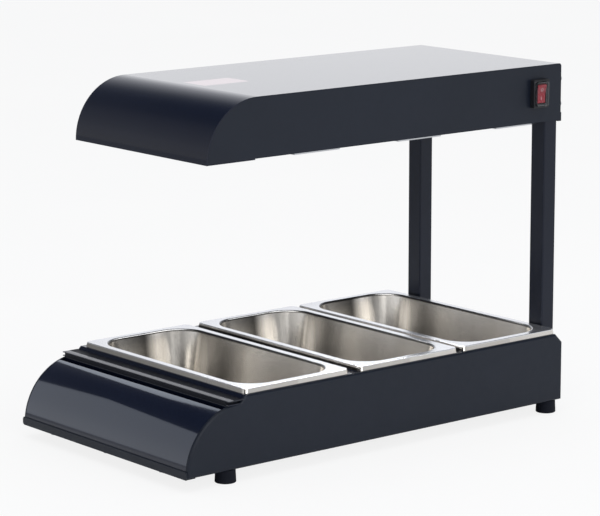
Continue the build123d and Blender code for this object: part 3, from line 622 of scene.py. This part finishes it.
ring_middle = Vector((138.72 * mm, rocker_y, 413.6 * mm))
ring_tilt = math.atan2(3.03, 10.57)
ring_outward = Vector((math.cos(ring_tilt), 0.0, -math.sin(ring_tilt)))
ring_up = Vector((math.sin(ring_tilt), 0.0, math.cos(ring_tilt)))
ring_side = Vector((0.0, 1.0, 0.0))
ring_outer = 2.1 * mm
ring_inner = 1.6 * mm
ring_count = 40
ring_loops = []
for radius, lift in (
    (ring_outer, -mark_sink), (ring_outer, mark_lift), (ring_inner, mark_lift), (ring_inner, -mark_sink),
):
    loop = []
    for i in range(ring_count):
        turn = math.tau * i / ring_count
        way = ring_side * math.cos(turn) + ring_up * math.sin(turn)
        loop.append(ring_middle + ring_outward * lift + way * radius)
    ring_loops.append(loop)
smooth(skinned("off_mark", ring_loops, mark_white, "rocker", closed=True))

bar_x = 137.17 * mm
bar_z = 402.7 * mm
bar_half_height = 2.2 * mm
bar_radius = 0.28 * mm
top_width_share = 0.9
top_height_share = 0.98
bar_outline = arc_points((0.0, bar_half_height - bar_radius), bar_radius, 0.0, 180.0, 9)
bar_outline += arc_points((0.0, bar_radius - bar_half_height), bar_radius, 180.0, 360.0, 9)
bar_lower = [(bar_x - mark_sink, rocker_y + y, bar_z + z) for y, z in bar_outline]
bar_upper = [
    (bar_x + mark_lift, rocker_y + y * top_width_share, bar_z + z * top_height_share) for y, z in bar_outline
]
skinned("on_mark", (bar_lower, bar_upper), mark_white, "rocker", capped=(-1,))


# Floor

floor_half = 6.0
floor_mesh = bpy.data.meshes.new("floor")
grid = bmesh.new()
bmesh.ops.create_grid(grid, x_segments=8, y_segments=8, size=floor_half)
grid.to_mesh(floor_mesh)
grid.free()
floor = bpy.data.objects.new("floor", floor_mesh)
bpy.context.collection.objects.link(floor)

floor_white, tree, shader = new_material("floor_white")
speckle = noise(tree, 3.0, detail=2.0, roughness=0.5)
floor_tone = ramp(tree, speckle, [(0.3, (0.90, 0.90, 0.90)), (0.7, (0.93, 0.93, 0.93))])
tree.links.new(floor_tone, shader.inputs["Base Color"])
shader.inputs["Roughness"].default_value = 0.9
shader.inputs["Specular IOR Level"].default_value = 0.0
floor_mesh.materials.append(floor_white)

# The camera sees the floor nearly as white as the backdrop, with the object's shadow kept
floor_white_share = 0.84
floor_rays = add_node(tree, "ShaderNodeLightPath")
glow = add_node(tree, "ShaderNodeEmission", {"Color": (*white, 1.0), "Strength": 1.0})
lifted = mixed_shaders(
    tree, math_of(tree, "MULTIPLY", floor_rays.outputs["Is Camera Ray"], floor_white_share),
    shader.outputs["BSDF"], glow.outputs["Emission"],
)

# In gloss the floor is grey in front and to the left, chosen by comparing renders with the photo
front_left = (-0.6, -0.8, 0.0)
grey_start = 0.60
grey_end = 0.95
grey_share = 0.5
toward_front_left = share_along(tree, place_coords(tree), front_left)
grey_zone = spread(tree, toward_front_left, 0.0, grey_share, start=grey_start, end=grey_end)
black_glow = add_node(tree, "ShaderNodeEmission", {"Color": (0.0, 0.0, 0.0, 1.0), "Strength": 0.0})
greyed = mixed_shaders(
    tree, math_of(tree, "MULTIPLY", grey_zone, floor_rays.outputs["Is Glossy Ray"]),
    lifted, black_glow.outputs["Emission"],
)
tree.links.new(greyed, tree.nodes["Material Output"].inputs["Surface"])


# World: white to the camera; to gloss a bright horizon that dims upwards and towards the front left

world = bpy.data.worlds.new("studio")
world.use_nodes = True
bpy.context.scene.world = world
tree = world.node_tree
background = tree.nodes["Background"]
background.inputs["Strength"].default_value = 1.0
direction = add_node(tree, "ShaderNodeTexCoord").outputs["Generated"]
direction_y, direction_z = axes_of(tree, direction)[1:]

# Sine of the elevation against radiance, chosen by comparing renders with the photo
sky = ramp(tree, direction_z, [
    (0.0, white), (0.15, (0.93, 0.94, 0.98)), (0.24, (0.77, 0.78, 0.82)), (0.34, (0.62, 0.63, 0.67)),
    (0.43, (0.48, 0.49, 0.53)), (0.505, (0.32, 0.33, 0.36)), (0.566, (0.14, 0.15, 0.17)),
    (0.61, (0.05, 0.055, 0.07)), (0.65, (0.015, 0.018, 0.025)), (1.0, (0.015, 0.018, 0.025)),
])
front_level = 0.42
dimmed_sky = scaled(tree, sky, spread(tree, direction_y, front_level, 1.0, start=-0.25, end=0.10))

# Towards the camera's side the studio's walls stay bright up to a steep angle, and are grey near the floor
camera_side = (0.76, -0.65, 0.0)
near_share = spread(tree, share_along(tree, direction, camera_side), 0.0, 1.0, start=0.1, end=0.5)
near_tone = ramp(tree, direction_z, [(0.06, (0.48, 0.51, 0.56)), (0.22, white)])
gloss_sky = mixed(tree, near_share, dimmed_sky, near_tone)

ambient_tone = (0.80, 0.82, 0.86)
ambient_front_level = 0.35
ambient_level = spread(tree, direction_y, ambient_front_level, 1.0, start=-0.8, end=0.2)
ambient = scaled(tree, ambient_tone, ambient_level)
rays = add_node(tree, "ShaderNodeLightPath")
for_gloss = mixed(tree, rays.outputs["Is Glossy Ray"], ambient, gloss_sky)
white_rays = math_of(tree, "MAXIMUM", rays.outputs["Is Camera Ray"], rays.outputs["Is Transmission Ray"])
tree.links.new(mixed(tree, white_rays, for_gloss, (*white, 1.0)), background.inputs["Color"])


# Lights

def area_light(name, place, aim, size, watts, tint=white, receivers=None):
    """Rectangular light; with receivers it lights only those and stays unseen, as a card set with flags."""
    data = bpy.data.lights.new(name, "AREA")
    data.shape = "RECTANGLE"
    data.size, data.size_y = size
    data.energy = watts
    data.color = tint
    lamp = bpy.data.objects.new(name, data)
    lamp.location = place
    lamp.rotation_euler = (Vector(aim) - Vector(place)).to_track_quat("-Z", "Y").to_euler()
    bpy.context.collection.objects.link(lamp)
    if receivers is not None:
        lamp.visible_camera = False
        lamp.light_linking.receiver_collection = receivers


def lit_only(name, members):
    group = bpy.data.collections.new(name)
    for member in members:
        group.objects.link(member)
    return group


def mirror_card(name, receivers, aim, azimuth, elevation, reach, size, watts, tint=white):
    """Card in the direction that a surface mirrors; azimuth in degrees from +Y towards -X."""
    turn, lift = math.radians(azimuth), math.radians(elevation)
    way = Vector((-math.sin(turn) * math.cos(lift), math.cos(turn) * math.cos(lift), math.sin(lift)))
    area_light(name, Vector(aim) + way * reach, aim, size, watts, tint, receivers)


area_light("top_softbox", place=(0.3, -0.2, 2.4), aim=(0.0, 0.0, 0.2), size=(2.2, 2.2), watts=16.0)
area_light("side_softbox", place=(2.4, -0.6, 1.2), aim=(0.0, 0.0, 0.25), size=(1.6, 1.2), watts=8.0)

# Two cards light only the base's curved front: a broad low one and a smaller one from higher up
shell_only = lit_only("shell_only", [nodes["front_shell"]])
shell_middle = (0.0, -0.29, 0.08)
sky_tint = (0.82, 0.89, 1.0)
mirror_card(
    "low_card", shell_only, shell_middle, azimuth=133.0, elevation=10.0, reach=1.0,
    size=(0.9, 1.0), watts=3.1, tint=sky_tint,
)
mirror_card(
    "edge_card", shell_only, shell_middle, azimuth=62.0, elevation=32.0, reach=2.0,
    size=(0.8, 0.5), watts=2.0, tint=sky_tint,
)

# Three cards light only the pans: one for the rims, one for the left ends, one under the canopy
pans_only = lit_only("pans_only", [nodes[f"pan_{pan_name}"] for pan_name in pan_names])
pans_middle = (0.0, 0.02, 0.10)
mirror_card(
    "rim_card", pans_only, pans_middle, azimuth=51.0, elevation=13.0, reach=2.0,
    size=(1.2, 0.5), watts=0.5,
)
mirror_card(
    "end_card", pans_only, pans_middle, azimuth=-115.0, elevation=18.0, reach=1.4,
    size=(0.9, 0.35), watts=3.0,
)
area_light(
    "under_card", place=(0.0, 0.02, 0.362), aim=pans_middle, size=(0.24, 0.50), watts=3.6,
    receivers=pans_only,
)


# Camera: fitted to the photograph's edges

photo_width = 600.0
sensor_width = 36.0
focal_pixels = 2738.85
camera_place = (2.59527, -2.14240, 0.86970)
yaw, pitch, roll = 0.88408, 0.19353, -0.00135

forward = Vector((-math.sin(yaw) * math.cos(pitch), math.cos(yaw) * math.cos(pitch), -math.sin(pitch)))
right = Vector((math.cos(yaw), math.sin(yaw), 0.0))
up = right.cross(forward)
rolled_right = right * math.cos(roll) + up * math.sin(roll)
rolled_up = up * math.cos(roll) - right * math.sin(roll)
camera_data = bpy.data.cameras.new("camera")
camera_data.sensor_width = sensor_width
camera_data.lens = focal_pixels / photo_width * sensor_width
camera_data.clip_start = 0.05
camera_data.clip_end = 40.0
camera = bpy.data.objects.new("camera", camera_data)
facing_camera = Matrix((rolled_right, rolled_up, -forward)).transposed().to_4x4()
camera.matrix_world = Matrix.Translation(camera_place) @ facing_camera
bpy.context.collection.objects.link(camera)
bpy.context.scene.camera = camera

bpy.context.scene.view_settings.view_transform = "Standard"
